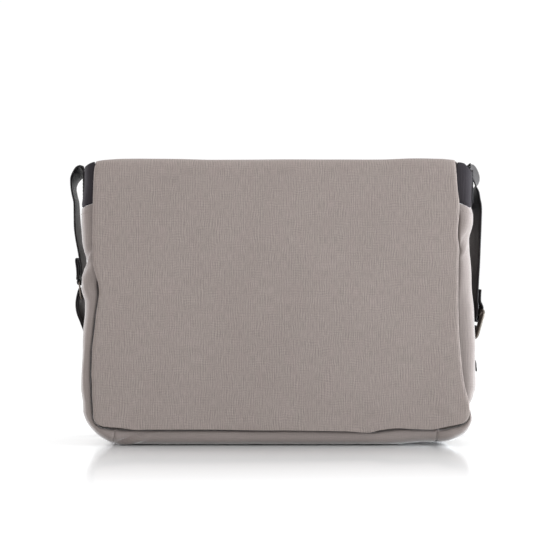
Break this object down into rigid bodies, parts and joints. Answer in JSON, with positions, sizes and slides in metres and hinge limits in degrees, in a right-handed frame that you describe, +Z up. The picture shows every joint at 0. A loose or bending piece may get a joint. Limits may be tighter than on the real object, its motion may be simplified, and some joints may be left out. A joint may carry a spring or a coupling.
{
  "type": "messenger bag",
  "caption": "Soft upright canvas shoulder bag with a full front flap, boxed gussets, a webbing strap with metal adjuster and ring, and a zipped pocket under the flap.",
  "frame": {"origin": "on the floor, at the middle of the flat underside of the bag (the strap that lies behind the bag is not centred on it)", "axes": "+X to the right as the flap is looked at, +Y to the back of the bag, +Z up"},
  "size_m": [0.4387, 0.1758, 0.2996],
  "materials": {
    "canvas": "heathered taupe plain-weave canvas, matte",
    "webbing": "black ribbed webbing, matte",
    "lining": "dark plain lining cloth",
    "zip_tape": "woven zip tape",
    "dark_metal": "gunmetal plated wire and plate",
    "nickel": "nickel plated, satin",
    "zip_coil": "coil zip teeth",
    "stiffener": "plain board"
  },
  "bodies": {
    "bag": {"front_panel": "canvas", "back_panel": "canvas", "gusset_left": "canvas", "gusset_right": "canvas", "gusset_top_left": "webbing", "gusset_top_right": "webbing", "gusset_bottom": "canvas", "main_lining": "lining", "base_board": "stiffener", "inner_slip_pocket": "lining", "mouth_hem": "canvas", "front_pocket_panel": "canvas", "zip_tape_lower": "zip_tape", "zip_tape_upper": "zip_tape", "zip_teeth": "zip_coil", "zip_stop_left": "nickel", "zip_stop_right": "nickel", "snap_socket_left": "nickel", "snap_socket_right": "nickel", "flap_back_fold": "canvas", "strap_anchor_left": "webbing", "strap_anchor_right": "webbing"},
    "zip_slider_body": {"zip_slider": "nickel"},
    "zip_pull_body": {"zip_pull": "nickel"},
    "flap_top": {"flap_top_shell": "canvas", "flap_top_lining": "lining", "flap_front_fold": "canvas"},
    "flap_front": {"flap_front_shell": "canvas", "flap_front_lining": "lining", "snap_stud_left": "nickel", "snap_stud_right": "nickel"},
    "strap": {"strap_short_left": "webbing", "strap_short_right": "webbing", "strap_long": "webbing", "strap_adjuster": "dark_metal", "strap_ring": "dark_metal"}
  },
  "joints": [
    {"name": "flap_back", "type": "hinge", "parent": "bag", "child": "flap_top", "pos_m": [0, 0.054, 0.285], "axis": [-1, 0, 0], "range_deg": [0, 175], "deforming": ["flap_back_fold"]},
    {"name": "flap_front", "type": "hinge", "parent": "flap_top", "child": "flap_front", "pos_m": [0, -0.044, 0.28], "axis": [-1, 0, 0], "range_deg": [0, 90], "deforming": ["flap_front_fold"]},
    {"name": "strap_lift", "type": "hinge", "parent": "bag", "child": "strap", "pos_m": [0, 0, 0.285], "axis": [1, 0, 0], "range_deg": [0, 175]},
    {"name": "zip_slide", "type": "slide", "parent": "bag", "child": "zip_slider_body", "axis": [-1, 0, 0], "range_m": [0, 0.28], "deforming": ["zip_teeth"]},
    {"name": "zip_pull", "type": "hinge", "parent": "zip_slider_body", "child": "zip_pull_body", "pos_m": [0.14, -0.0573, 0.212], "axis": [0, 1, 0], "range_deg": [-60, 60]}
  ]
}
